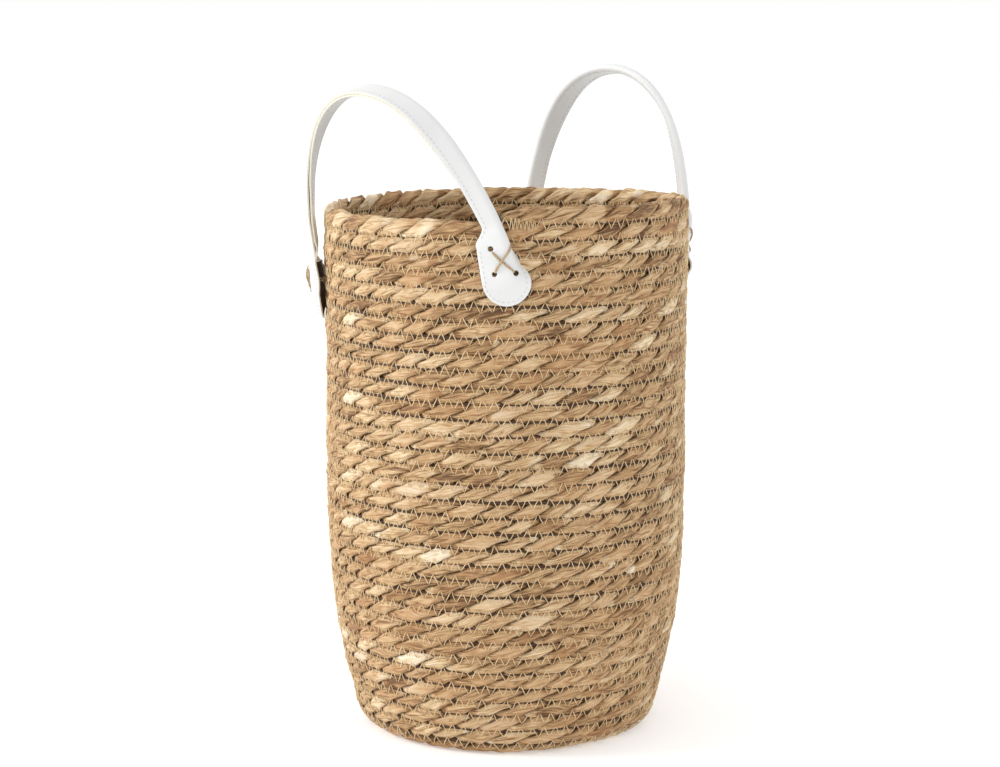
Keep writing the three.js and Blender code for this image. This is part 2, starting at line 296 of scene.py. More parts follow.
def build(name, points, faces, materials, uvs=None, values=None, choice=None):
    """A smooth mesh object. uvs are {layer: a UV for each face corner}, values a colour for
    each point in the layer "straw", and choice the material of each face."""
    a, b, c, d = (points[faces[:, k]] for k in range(4))
    volume = np.einsum("ij,ij->", a, np.cross(b, c)) + np.einsum("ij,ij->", a, np.cross(c, d))
    if volume < 0:
        faces = faces[:, ::-1]
        uvs = {layer: corners[:, ::-1] for layer, corners in (uvs or {}).items()}
    mesh = bpy.data.meshes.new(name)
    mesh.from_pydata(points.tolist(), [], faces.tolist())
    for layer, corners in (uvs or {}).items():
        made = mesh.uv_layers.new(name=layer)
        made.uv.foreach_set("vector", corners.astype(np.float32).ravel())
    if values is not None:
        colours = np.concatenate([values, np.ones((len(values), 1))], 1)
        made = mesh.attributes.new("straw", "FLOAT_COLOR", "POINT")
        made.data.foreach_set("color", colours.astype(np.float32).ravel())
    for material in materials:
        mesh.materials.append(material)
    if choice is not None:
        mesh.polygons.foreach_set("material_index", choice.astype(np.int32))
    mesh.shade_smooth()
    mesh.update()
    return add_object(name, mesh)


def path_frames(points, hint):
    """A line's direction at each point and two square to it, the first turned towards hint."""
    tangent = unit(np.gradient(points, axis=0))
    side = unit(hint - np.sum(hint * tangent, -1, keepdims=True) * tangent)
    return tangent, side, np.cross(tangent, side)


def cord_rings(points, radius, ply_length):
    """Rings of a two-ply cord of this radius along a line: one array of rings per ply."""
    _, side, other = path_frames(points, np.array((0.3, 0.2, 1.0)))
    along = line_lengths(points)
    around = circle(7)
    ends = smoothstep(np.minimum(along, along[-1] - along) / radius)[:, None]
    plies = []
    for ply in range(PLIES):
        phase = 2 * np.pi * along / ply_length + ply * np.pi
        x = 0.48 * radius * np.cos(phase)[:, None] + 0.6 * radius * ends * np.cos(around)
        y = 0.48 * radius * np.sin(phase)[:, None] + 0.6 * radius * ends * np.sin(around)
        plies.append(rings_at(points, x, side, y, other))
    return plies


def joined(parts):
    """Several (points, faces) as one."""
    points, faces, count = [], [], 0
    for some_points, some_faces in parts:
        points.append(some_points)
        faces.append(some_faces + count)
        count += len(some_points)
    return np.concatenate(points), np.concatenate(faces)


# --- Materials ---


def srgb(red, green, blue):
    """A colour given from 0 to 255 as Blender's linear RGBA."""
    shares = (c / 255 for c in (red, green, blue))
    return (*(s / 12.92 if s < 0.04045 else ((s + 0.055) / 1.055) ** 2.4 for s in shares), 1)


class Nodes:
    """A short way to write a node material."""

    def __init__(self, name):
        self.material = bpy.data.materials.new(name)
        self.material.use_nodes = True
        self.tree = self.material.node_tree
        self.shader = self.tree.nodes["Principled BSDF"]

    def add(self, kind, inputs=None, **settings):
        node = self.tree.nodes.new(kind)
        for key, value in settings.items():
            setattr(node, key, value)
        for key, value in (inputs or {}).items():
            self.put(node.inputs[key], value)
        return node

    def put(self, socket, value):
        if isinstance(value, bpy.types.NodeSocket):
            self.tree.links.new(value, socket)
        else:
            socket.default_value = value

    def set(self, **inputs):
        for key, value in inputs.items():
            self.put(self.shader.inputs[key.replace("_", " ")], value)

    def place(self):
        return self.add("ShaderNodeTexCoord").outputs["Object"]

    def two_tone(self, noise, dark, light):
        self.set(Base_Color=self.ramp(noise, [(0.3, srgb(*dark)), (0.7, srgb(*light))]))

    def maths(self, operation, first, second=0.0, clamp=False):
        node = self.add("ShaderNodeMath", {0: first, 1: second}, operation=operation)
        node.use_clamp = clamp
        return node.outputs[0]

    def times(self, first, second):
        return self.maths("MULTIPLY", first, second)

    def mix(self, share, first, second):
        node = self.add("ShaderNodeMix", data_type="RGBA")
        for index, value in ((0, share), (6, first), (7, second)):
            self.put(node.inputs[index], value)
        return node.outputs[2]

    def ramp(self, share, stops):
        node = self.add("ShaderNodeValToRGB", {0: share})
        elements = node.color_ramp.elements
        while len(elements) < len(stops):
            elements.new(0.5)
        for element, (position, colour) in zip(elements, stops):
            element.position = position
            element.color = colour
        return node.outputs[0]

    def noise(self, coordinates, scale, detail=3.0, roughness=0.55):
        inputs = {"Vector": coordinates, "Scale": scale, "Detail": detail, "Roughness": roughness}
        return self.add("ShaderNodeTexNoise", inputs).outputs[0]

    def stretched(self, coordinates, scale):
        node = self.add("ShaderNodeMapping", {"Vector": coordinates, "Scale": scale})
        return node.outputs[0]

    def bump(self, height, strength, distance):
        inputs = {"Height": height, "Strength": strength, "Distance": distance}
        self.set(Normal=self.add("ShaderNodeBump", inputs).outputs[0])


def grey(value):
    return (value, value, value, 1)


def straw_material():
    """Dry twisted straw: a tone and a hue for each leaf, streaks along its fibres, painted shade in
    grooves.
    """
    n = Nodes("straw")
    attribute = n.add("ShaderNodeAttribute", attribute_name="straw").outputs["Color"]
    leaf = n.add("ShaderNodeSeparateColor", {0: attribute}).outputs
    # The third channel, depth, is painted shade: how deep a point lies where the plies and the
    # courses press together.
    tone, hue, depth = leaf[0], leaf[1], leaf[2]
    fibre = n.add("ShaderNodeUVMap", uv_map="fibre").outputs[0]
    broad = n.noise(n.stretched(fibre, (0.4, 3.2, 1)), 1.0, 2.0)
    fine = n.noise(n.stretched(fibre, (0.8, 11, 1)), 1.0, 4.0, 0.7)
    blotch = n.noise(n.stretched(fibre, (1.4, 3.6, 1)), 1.0, 4.0, 0.7)
    strips = n.noise(n.stretched(fibre, (0.22, 2.6, 1)), 1.0, 1.0)
    shade = n.maths("ADD", tone, n.times(n.maths("SUBTRACT", broad, 0.5), 0.8))
    shade = n.maths("ADD", shade, n.times(n.maths("SUBTRACT", fine, 0.5), 1.1))
    # Painted shade: dark lines in the crease where one strip of straw lies beside the next.
    beside = n.maths("ABSOLUTE", n.maths("SUBTRACT", strips, 0.5))
    line = n.maths("SUBTRACT", 1.0, n.times(beside, 26.0), clamp=True)
    shade = n.maths("SUBTRACT", shade, n.times(line, 0.3))
    colour = n.ramp(shade, [(at, srgb(*colour)) for at, colour in STRAW_COLOURS])
    colour = n.mix(n.times(hue, 0.42), colour, srgb(180, 128, 82))
    spots = n.maths("MULTIPLY", n.maths("SUBTRACT", blotch, 0.62, clamp=True), 2.6, clamp=True)
    colour = n.mix(spots, colour, srgb(96, 64, 38))
    # Painted shade: darker towards deep brown where the plies and the courses meet, standing in for
    # their shadow.
    colour = n.mix(n.times(depth, 0.85), colour, srgb(62, 41, 23))
    n.set(Base_Color=colour)
    n.set(Roughness=n.maths("ADD", n.times(fine, 0.3), 0.42))
    n.set(Specular_IOR_Level=0.4)
    wrinkle = n.maths("ADD", n.times(broad, 0.8), fine)
    wrinkle = n.maths("SUBTRACT", wrinkle, n.times(line, 0.4))
    n.bump(wrinkle, 0.6, 0.0014)
    return n.material


def thread_material():
    """The zigzag's straw-coloured thread."""
    n = Nodes("stitch_thread")
    patchy = n.noise(n.place(), 90.0)
    n.two_tone(patchy, (196, 166, 120), (232, 210, 168))
    n.set(Roughness=n.maths("ADD", n.times(patchy, 0.3), 0.4))
    return n.material


def strap_material():
    """White coated faux leather with a fine grain and soft wrinkles."""
    n = Nodes("strap_face")
    where = n.place()
    cloud = n.noise(where, 22.0, 2.0)
    colour = n.ramp(cloud, [(0.3, srgb(218, 219, 218)), (0.7, srgb(225, 226, 226))])
    grain = n.add("ShaderNodeTexVoronoi", {"Vector": where, "Scale": 1300.0}).outputs[0]
    wrinkle = n.noise(where, 120.0, 4.0)
    wrinkle = n.maths("ADD", wrinkle, n.times(n.noise(where, 38.0, 2.0), 3.0))
    n.set(Base_Color=n.mix(n.times(grain, 0.1), colour, srgb(180, 178, 172)))
    n.set(Roughness=n.maths("ADD", n.times(cloud, 0.25), 0.32))
    n.bump(n.maths("ADD", n.times(grain, 0.25), wrinkle), 0.2, 0.0005)
    return n.material


def edge_material():
    """The strap's cut edges: cream foam between the coating and the cloth."""
    n = Nodes("strap_edge")
    rough = n.noise(n.place(), 900.0)
    n.two_tone(rough, (206, 200, 182), (226, 222, 208))
    n.set(Roughness=0.8)
    n.bump(rough, 0.3, 0.0003)
    return n.material


def backing_material():
    """The brown cloth on the strap's back."""
    n = Nodes("strap_back")
    cloth = n.noise(n.place(), 1400.0)
    n.two_tone(cloth, (96, 74, 58), (140, 114, 92))
    n.set(Roughness=0.9)
    n.bump(cloth, 0.5, 0.0004)
    return n.material


def seam_material():
    """The strap's sewing thread, a little greyer than its face."""
    n = Nodes("seam_thread")
    patchy = n.noise(n.place(), 500.0)
    n.two_tone(patchy, (190, 189, 184), (208, 207, 203))
    n.set(Roughness=0.6)
    return n.material


def twine_material():
    n = Nodes("twine")
    fibres = n.noise(n.stretched(n.place(), (1, 1, 0.35)), 1500.0, 4.0)
    n.two_tone(fibres, (146, 118, 84), (206, 182, 146))
    n.set(Roughness=0.85)
    n.bump(fibres, 0.5, 0.0003)
    return n.material


# --- The rope ---


def wall_profile(nodes):
    """Outer radius of the CAD's wall at the height of each of its rings, as (height, radius)."""
    found = []
    for name in ("wall_coil", "rim_coil"):
        corners = np.array([v.co for v in nodes[name].data.vertices])
        radii = np.hypot(corners[:, 0], corners[:, 1])
        heights = np.round(corners[:, 2], 4)
        if name == "rim_coil":
            found.append((heights.max(), radii.max()))
            continue
        for height in np.unique(heights):
            ring = radii[heights == height]
            if len(ring) >= 60:
                found.append((height, ring.max()))
    return np.array(sorted(found))


def meridian(profile):
    """The rope's way out along the base and up the wall, as (radius, height) each 0.5 mm."""
    half = ROPE_THICKNESS / 2
    curve = np.polynomial.Polynomial.fit(profile[:, 0], profile[:, 1], 5)
    heights = np.arange(half, RIM_HEIGHT + 2 * COURSE_HEIGHT, MM)
    wall = np.stack([curve(heights) - half, heights], -1)
    radii = np.arange(-3 * COURSE_HEIGHT, wall[0, 0], MM)
    base = np.stack([radii, np.full_like(radii, half)], -1)
    points = np.concatenate([base, wall])
    length = line_lengths(points)[-1]
    (points,), _ = resample(points, np.linspace(0, 1, int(length / (0.5 * MM))))
    points = smoothed(smoothed(points, 12), 12)
    return points[points[:, 0] > 0]


class Winding:
    """Where the rope is after a number of turns from the centre of the base."""

    def __init__(self, profile):
        self.points = meridian(profile)
        self.along = line_lengths(self.points)
        self.tangents = unit(np.gradient(self.points, axis=0))
        up = self.points[:, 1]
        self.last = np.interp(RIM_HEIGHT, up[up > 0.02], self.along[up > 0.02]) / COURSE_HEIGHT
        turns = np.linspace(0, self.last, 6000)
        radii = np.interp(turns * COURSE_HEIGHT, self.along, self.points[:, 0])
        lengths = np.cumsum(2 * np.pi * radii) * (turns[1] - turns[0])
        self.turns, self.lengths = turns, lengths

    def length_at(self, turn):
        return np.interp(turn, self.turns, self.lengths)

    def turn_at(self, length):
        return np.interp(length, self.lengths, self.turns)

    def wander(self, length):
        """How far the rope strays outwards and sideways at these lengths of it."""
        outward = OUTWARD_WANDER * noise_along(length, WANDER_LENGTH, 1)
        outward += 0.5 * OUTWARD_WANDER * noise_along(length, 4 * WANDER_LENGTH, 2)
        sideways = SIDEWAYS_WANDER * noise_along(length, WANDER_LENGTH, 3)
        return outward, sideways

    def frames(self, turn, across=0.0):
        """Centre, outward and sideways directions, moved across courses by a number of turns."""
        distance = (turn + across) * COURSE_HEIGHT
        radius, height = (np.interp(distance, self.along, c) for c in self.points.T)
        out, up = (np.interp(distance, self.along, c) for c in self.tangents.T)
        angle = TAIL_ANGLE - 2 * np.pi * (turn - self.last)
        cos, sin = np.cos(angle), np.sin(angle)
        centre = np.stack([radius * cos, radius * sin, height], -1)
        outward = np.stack([up * cos, up * sin, -out], -1)
        sideways = np.stack([out * cos, out * sin, up], -1)
        return centre, outward, sideways


def rib_phase(lengths, seed):
    return (3 * noise_along(lengths, 2 * PLY_LENGTH, 31 + seed))[:, None]


def strand_rings(winding, lengths, ply):
    """Rings of points of one ply, the values for its material (tone, hue and painted shade) and how
    far its fibres turn.
    """
    turn = winding.turn_at(lengths)
    centre, outward, sideways = winding.frames(turn)
    wander_out, wander_side = winding.wander(lengths)
    to_end = winding.lengths[-1] - lengths
    from_start = lengths - winding.length_at(ROPE_START)
    flat = TAIL_FLATTENING * smoothstep(1 - to_end / TAIL_LENGTH)
    taper = np.sqrt(np.clip(np.minimum(to_end, from_start) / ROPE_TAPER, 0, 1))
    loose = PHASE_VARIATION * noise_along(lengths, PLY_LENGTH, 11)
    phase = -2 * np.pi * lengths / PLY_LENGTH + ply * 2 * np.pi / PLIES + loose
    phase = phase + PHASE_LAG * np.sin(2 * phase)
    size = 1 + SIZE_VARIATION * noise_along(lengths, PLY_LENGTH / 2, 21 + ply)
    theta = np.linspace(-np.pi, np.pi, STRAND_SIDES + 1)[None, :-1]
    twist = -FIBRE_TWIST * 2 * np.pi * lengths / PLY_LENGTH
    ribs = RIB_DEPTH * np.cos(3 * (theta + twist[:, None]) + rib_phase(lengths, ply + 2))
    ribs += RIB_DEPTH * np.cos(5 * (theta + twist[:, None]) + rib_phase(lengths, ply))
    around = (size * taper)[:, None] * (1 + ribs)
    radial = PLY_OFFSET * taper[:, None] + PLY_DEPTH * np.cos(theta) * around
    width = PLY_WIDTH + RIM_EXTRA_WIDTH * smoothstep((turn - winding.last + 1.2) / 0.4)
    crossways = width[:, None] * np.sin(theta) * around
    cos, sin = np.cos(phase)[:, None], np.sin(phase)[:, None]
    x = radial * cos - crossways * sin
    y = radial * sin + crossways * cos
    half_height = COURSE_HEIGHT / 2 * COURSE_OVERLAP * (1 - flat)
    n = x * ROPE_THICKNESS / 2 + wander_out[:, None]
    b = y * half_height[:, None] + (wander_side - flat * COURSE_HEIGHT / 2)[:, None]
    rings = rings_at(centre, n, outward, b, sideways)
    # The floor presses the base flat, with room for the stitches under it.
    rings[..., 2] = np.maximum(rings[..., 2], THREAD_RADIUS)
    # Painted shade, darkest deep in the rope where the two plies press together.
    depth = 1 - smoothstep((np.hypot(x, y) - 0.35) / 0.45)
    # Painted shade where a neighbouring course covers the ply; the rim's upper side has no neighbour
    # that shades it.
    covered = (y < 0) | (turn < winding.last - 1)[:, None]
    depth = np.maximum(depth, covered * 0.55 * (1 - smoothstep((np.abs(x) - 0.1) / 0.38)))
    tone, hue = leaf_colour(lengths, phase, ply)
    values = np.stack(np.broadcast_arrays(tone[:, None], hue[:, None], depth), -1)
    return rings, values, twist


def leaf_colour(lengths, phase, ply):
    """Tone and hue of the straw: each half turn of a ply has its own, round a slow drift.
    Here and there a single leaf or a run of them is pale, and some runs are more orange."""
    leaf = np.floor(phase / np.pi + 0.5).astype(int)
    leaf -= leaf.min()
    random = np.random.default_rng(41 + ply)
    tones = random.normal(0, LEAF_TONE_SPREAD, leaf.max() + 1)
    pale = random.random(leaf.max() + 1) < PALE_LEAVES
    hues = random.random(leaf.max() + 1) ** 2.5
    drift = noise_along(lengths, 5 * PLY_LENGTH, 51 + ply)
    bundles = noise_along(lengths, 3 * PLY_LENGTH, 61 + ply)
    pale_run = smoothstep((bundles - 0.72) / 0.15)
    tone = MIDDLE_TONE + TONE_DRIFT * drift + tones[leaf]
    tone += PALE_STEP * np.maximum(pale[leaf], pale_run)
    orange_run = smoothstep((noise_along(lengths, 4 * PLY_LENGTH, 71 + ply) - 0.25) / 0.5)
    hue = np.clip(0.75 * hues[leaf] + 0.55 * orange_run, 0, 1) * (1 - 0.8 * pale_run)
    return np.clip(tone, 0, 1), hue


def rope_piece(winding, name, first, last, material):
    """One stretch of the rope, both plies, between two numbers of turns."""
    start, end = winding.length_at(first), winding.length_at(last)
    count = int(round((end - start) / ROPE_STEP)) + 1
    lengths = np.linspace(start, end, count)
    per_row = RINGS_PER_BAKE_ROW
    filler = filler_rings(winding, lengths[lengths < winding.length_at(winding.last - 1)])
    ply_rows = rows_needed(count, per_row)
    rows = PLIES * ply_rows + rows_needed(len(filler) + 1, per_row)
    parts, values, bake, fibre = [], [], [], []
    for ply in range(PLIES):
        rings, colours, twist = strand_rings(winding, lengths, ply)
        parts.append(tube(rings))
        values.append(colours.reshape(-1, 3))
        bake.append(row_uvs(count, STRAND_SIDES, per_row, ply * ply_rows, rows))
        theta = np.linspace(-np.pi, np.pi, STRAND_SIDES + 1)[None]
        across = (theta + twist[:, None]) * 0.38 + 50 * ply
        fibre.append(tube_uvs(lengths[:, None] * 100, across))
    if len(filler):
        count, sides = filler.shape[:2]
        parts.append(tube(filler))
        # The filler's colour is a dark tone under full painted shade, as it lies deep between the
        # turns.
        values.append(np.tile((0.2, 0.2, 1.0), (count * sides, 1)))
        bake.append(row_uvs(count, sides, per_row, PLIES * ply_rows, rows))
        fibre.append(np.zeros(((count - 1) * sides, 4, 2)))
    points, faces = joined(parts)
    uvs = {"fibre": np.concatenate(fibre), "OFBake": np.concatenate(bake)}
    return build(name, points, faces, [material], uvs, np.concatenate(values))


def filler_rings(winding, lengths):
    """Crushed straw between one turn of the rope and the next, which keeps light out."""
    if len(lengths) < 2:
        return np.zeros((0, FILLER_SIDES, 3))
    lengths = lengths[np.unique(np.linspace(0, len(lengths) - 1, len(lengths) // 2).astype(int))]
    centre, outward, sideways = winding.frames(winding.turn_at(lengths), 0.5)
    n = FILLER_DEPTH / 2 * np.cos(circle(FILLER_SIDES))
    b = FILLER_HEIGHT / 2 * np.sin(circle(FILLER_SIDES))
    return rings_at(centre, n[None], outward, b[None], sideways)


def make_rope(winding, material):
    """The whole rope in pieces: the base, the wall some courses at a time, and the rim."""
    base_turns = round(BASE_RADIUS / COURSE_HEIGHT)
    breaks = [ROPE_START]
    breaks += list(np.arange(base_turns, winding.last - 1.5, COURSES_PER_PIECE))
    breaks += [winding.last - 1, winding.last]
    for index, (first, last) in enumerate(zip(breaks, breaks[1:])):
        piece = rope_piece(winding, f"rope_{index:02d}", first, last, material)
        stands_for = "base_coil" if index == 0 else "wall_coil"
        if index == len(breaks) - 2:
            stands_for = "rim_coil"
        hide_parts(stands_for)
        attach(piece, "basket")


# --- Zigzag thread ---


def swing_at(phase):
    """Place on a zigzag, from -1 to 1, which it crosses once for each whole number of phase."""
    return 1 - 2 * np.abs(phase % 2 - 1)


def zigzag(winding, first, last, side, random):
    """Rings of the thread that sews each turn to the next, on one side of the wall."""
    start, end = winding.length_at(first), winding.length_at(last)
    stitches = int((end - start) / STITCH_LENGTH)
    count = stitches * SAMPLES_PER_STITCH + 1
    lengths = np.linspace(start, end, count)
    phase = np.arange(count) / SAMPLES_PER_STITCH * 2
    swing = swing_at(phase)
    corner = np.round(phase).astype(int)
    jitter = random.uniform(-1, 1, (corner.max() + 1, 2))
    near_tip = np.abs(swing)
    lengths = lengths + jitter[corner, 0] * near_tip * STITCH_JITTER[0]
    turn = winding.turn_at(lengths)
    centre, outward, sideways = winding.frames(turn, 0.5)
    here, _ = winding.wander(lengths)
    above, _ = winding.wander(winding.length_at(np.minimum(turn + 1, winding.last)))
    reach = ROPE_THICKNESS / 2 * (1.05 - 0.24 * near_tip**3)
    n = side * reach + (here + above) / 2
    b = STITCH_REACH * swing + jitter[corner, 1] * near_tip * STITCH_JITTER[1]
    path = centre + n[:, None] * outward + b[:, None] * sideways
    path[:, 2] = np.maximum(path[:, 2], THREAD_RADIUS)
    return thread_rings(path, outward)


def thread_rings(path, outward, radius=THREAD_RADIUS, sides=5):
    """Rings of a round thread along a line, closed to a point at its ends."""
    _, one, two = path_frames(path, outward)
    ends = np.ones((len(path), 1))
    ends[[0, -1]] = 0
    x = np.cos(circle(sides)) * ends * radius
    y = np.sin(circle(sides)) * ends * radius
    return rings_at(path, x, one, y, two)


def tube_piece(name, tubes, material, per_row=400):
    """One mesh of several tubes, given by their rings and laid out in rows for baking."""
    rows = sum(rows_needed(len(rings), per_row) for rings in tubes)
    bake, row = [], 0
    for rings in tubes:
        count, sides = rings.shape[:2]
        bake.append(row_uvs(count, sides, per_row, row, rows))
        row += rows_needed(count, per_row)
    points, faces = joined([tube(rings) for rings in tubes])
    return build(name, points, faces, [material], {"OFBake": np.concatenate(bake)})


def make_thread(winding, material):
    random = np.random.default_rng(81)
    middle = (FIRST_STITCHED_TURN + winding.last) / 2
    halves = (FIRST_STITCHED_TURN, middle), (middle, winding.last - 1)
    for side, place in ((1, "outer"), (-1, "inner")):
        for part, (first, last) in enumerate(halves):
            rings = zigzag(winding, first, last, side, random)
            piece = tube_piece(f"thread_{place}_{part}", [rings], material)
            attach(piece, "basket")


def make_tail_stitches(winding, material):
    """Close stitches over the tail of the rope, from its top down to the course below."""
    turn_per_metre = 1 / (winding.lengths[-1] - winding.length_at(winding.last - 1))
    samples = 6
    count = 2 * TAIL_STITCHES * samples + 1
    phase = np.arange(count) / samples
    swing = swing_at(phase)
    back = TAIL_STITCHES_FROM / (2 * np.pi) + phase / 2 * TAIL_STITCH_LENGTH * turn_per_metre
    turn = winding.last - back
    centre, outward, sideways = winding.frames(turn)
    b = COURSE_HEIGHT * (0.04 * np.sin(2.3 * phase) - 0.5) + 0.42 * COURSE_HEIGHT * swing
    n = ROPE_THICKNESS / 2 + 0.6 * MM - 1.2 * MM * np.abs(swing) ** 3
    path = centre + n[:, None] * outward + b[:, None] * sideways
    piece = tube_piece("tail_stitches", [thread_rings(path, outward)], material)
    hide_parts("tail_stitching")
    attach(piece, "basket")


def make_stray_fibres(winding, material):
    """Short loose ends of straw that stand a little off the rope."""
    random = np.random.default_rng(91)
    tubes = []
    for _ in range(STRAY_FIBRES):
        turn = random.uniform(FIRST_WALL_TURN, winding.last)
        side = 1 if random.random() < 0.8 else -1
        across = random.uniform(-0.45, 0.45)
        (centre,), (outward,), (sideways,) = winding.frames(np.array([turn]), across)
        tangent = np.cross(outward, sideways) * random.choice((-1, 1))
        way = unit(tangent + random.uniform(-0.5, 0.5) * sideways)
        share = np.linspace(0, 1, 6)[:, None]
        length = random.uniform(5, 15) * MM
        lift = random.uniform(0.5, 5) * MM
        start = centre + side * outward * (ROPE_THICKNESS / 2 - 0.6 * MM)
        path = start + way * length * share + side * outward * lift * share**1.7
        path += sideways * random.uniform(-2, 2) * MM * share**2
        radius = random.uniform(0.14, 0.3) * MM * (1 - 0.75 * share)
        tubes.append(thread_rings(path, outward, radius, 4))
    piece = tube_piece("stray_fibres", tubes, material, per_row=5)
    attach(piece, "basket")


# --- Straps ---


class Tab:
    """A tab's own frame: across towards its handle's middle, up the tab, out from the wall."""

    def __init__(self, side, spread, tie, flare, shape, wall_radius):
        self.inner = -1 if side == "right" else 1
        angle = math.radians(-90 - self.inner * spread)
        self.flare = math.radians(flare)
        self.shape = shape
        outward = np.array([math.cos(angle), math.sin(angle), 0])
        sideways = np.cross([0, 0, 1], outward)
        up = np.array([0, 0, math.cos(TAB_LEAN)])
        up = up + sideways * self.inner * math.sin(TAB_LEAN) + outward * math.tan(self.flare)
        self.up = unit(up)
        x = unit(np.cross(self.up, outward))
        self.out = np.cross(x, self.up)
        self.across = self.inner * x
        self.stand_off = GAP + TAB_BELOW_TIE * math.sin(self.flare)
        self.origin = outward * (wall_radius(tie) + self.stand_off)
        self.origin[2] = tie
        lean = self.inner * math.sin(LEG_LEAN)
        self.leg_way = np.array([0, 0, math.cos(LEG_LEAN)]) + sideways * lean

    def at(self, across, above, out):
        return self.origin + self.across * across + self.up * above + self.out * out

    def to_wall(self, above):
        return (self.stand_off + above * math.sin(self.flare)) / math.cos(self.flare)


def table(values, *pairs):
    """Reads a value off a smooth curve through (position, value) pairs."""
    positions, found = zip(*pairs)
    fine = np.linspace(positions[0] * MM, positions[-1] * MM, 1200)
    curve = np.interp(fine, np.array(positions) * MM, found)
    kernel = np.ones(31) / 31
    padded = np.pad(curve, 15, mode="edge")
    return np.interp(values, fine, np.convolve(padded, kernel, "valid"))


class Strap:
    """A strap from its right tab over the apex to its left tab, folded along the grip.

    A place on it is (station, distance across the sheet from the line it is folded on)."""

    def __init__(self, setup, wall_radius):
        apex_radius, apex_height, tilt = setup["apex"]
        self.tabs = {
            side: Tab(side, setup["spread"], tie * MM, flare, shape, wall_radius)
            for side, (tie, flare, shape) in setup["tabs"].items()
        }
        self.turn = math.radians(setup["turn"])
        leg_reach, apex_reach = (r * MM for r in setup["reach"])
        top = np.array([0, -apex_radius * MM, apex_height * MM])
        apex_face = np.array([0, -math.sin(math.radians(tilt)), math.cos(math.radians(tilt))])
        halves = []
        for tab in self.tabs.values():
            shift = TAB_TOP_SHIFT + (GRIP_WIDTH - TAB_TOP_WIDTH) / 2
            shoulder = tab.at(shift, TAB_ABOVE_TIE, FOLD_RADIUS + GAP)
            leg = shoulder + (tab.leg_way + tab.out * setup["bow"]) * leg_reach
            near_top = top + np.array([-tab.inner * apex_reach, 0, 0])
            t = np.linspace(0, 1, 40)[:, None]
            rest = 1 - t
            bend = rest**3 * shoulder + 3 * rest**2 * t * leg + 3 * rest * t**2 * near_top
            bend += t**3 * top
            above = np.linspace(-TAB_BELOW_TIE, 0.6 * TAB_ABOVE_TIE, 30)[:, None]
            rise = smoothstep(above / TAB_ABOVE_TIE) * (FOLD_RADIUS + GAP)
            flat = tab.at(0, above, rise)
            face = tab.out + (apex_face - tab.out) * smoothstep(t)
            halves.append((np.concatenate([flat, bend]), [tab.out] * len(flat), face))
        points = np.concatenate([halves[0][0], halves[1][0][::-1][1:]])
        faces = np.concatenate([*halves[0][1:], halves[1][2][::-1][1:], halves[1][1]])
        self.place_stations(points, faces)
        self.shape_sections()

    def place_stations(self, points, faces):
        """Places along the strap with the directions across it and out from it."""
        (points, faces), length = resample(points, np.linspace(0, 1, 700), faces)
        points, faces = smoothed(points, 9), smoothed(faces, 9)
        end = np.linspace(0, 1, END_RINGS)[:-1] ** 1.8 * END_LENGTH
        middle = np.linspace(END_LENGTH, length - END_LENGTH, EVEN_RINGS)
        self.along = np.concatenate([end, middle, length - end[::-1]])
        (self.points, faces), self.length = resample(points, self.along / length, faces)
        tangent, self.face, _ = path_frames(self.points, faces)
        self.far = np.cross(tangent, self.face)
        self.above = np.minimum(self.along, length - self.along) - TAB_BELOW_TIE

    def shape_sections(self):
        """How wide the sheet is on both sides of its fold, and how it is folded, at each station.
        The tables go by mm over the tie and give mm, degrees or shares."""
        v = self.above
        bottom = v + TAB_BELOW_TIE
        round_end = np.sqrt(np.clip(1 - (1 - bottom / TAB_RADIUS) ** 2, 0, 1))
        round_end[bottom > TAB_RADIUS] = 1
        near_low = (-37, 19.4), (-10, 19.4), (24, 18.6), (25.5, 17.5)
        near_high = (31.5, 8.2), (33, 7.4), (70, 7.6), (130, 10), (160, 10)
        near = table(v, *near_low, *near_high)
        far = table(v, (-37, 20.8), (60, 20.8)) * round_end * MM
        self.near = near * round_end * MM
        fold = table(v, (-37, 8.5), (20, 8.5), (40, 9.6), (80, 10), (140, 11.2), (160, 11.2)) * MM
        self.fold = np.minimum(fold, 0.6 * far)
        grip = smoothstep((v - 10 * MM) / (18 * MM))
        self.near_length = self.near + self.fold
        self.far_length = (far - self.fold) * (1 - grip) + self.near_length * grip
        low = (-37, 0), (-24, 0), (-18, 17), (-14, 36), (-9.5, 62), (-6, 76), (-1, 86)
        high = (3, 98), (7, 112), (12, 135), (16, 152), (24, 184), (40, 194)
        self.turning = np.radians(table(v, *low, *high))
        rise = table(v, (-37, 0.1), (-24, 0.5), (-8, 1), (14, 1), (45, 0.35), (90, 0))
        self.slope = np.radians(self.by_side("tent") * rise + 7 * (1 - rise))
        self.slope *= smoothstep(bottom / (25 * MM))
        arched = table(v, (-37, 1), (14, 1), (45, 0.35), (90, 0)) * smoothstep(bottom / (10 * MM))
        self.curl = np.radians(self.by_side("curl") * arched)
        self.far_curl = 1.8 * self.curl * (1 - smoothstep((v + 6 * MM) / (20 * MM)))
        dip = self.by_side("dip") * table(v, (-10, 0), (16, 1), (30, 1), (60, 0.35), (100, 0))
        self.lift = (1.4 - 0.3 * grip - dip) * MM

    def by_side(self, key):
        right, left = (self.tabs[side].shape[key] for side in ("right", "left"))
        return np.where(self.along < self.length / 2, right, left)

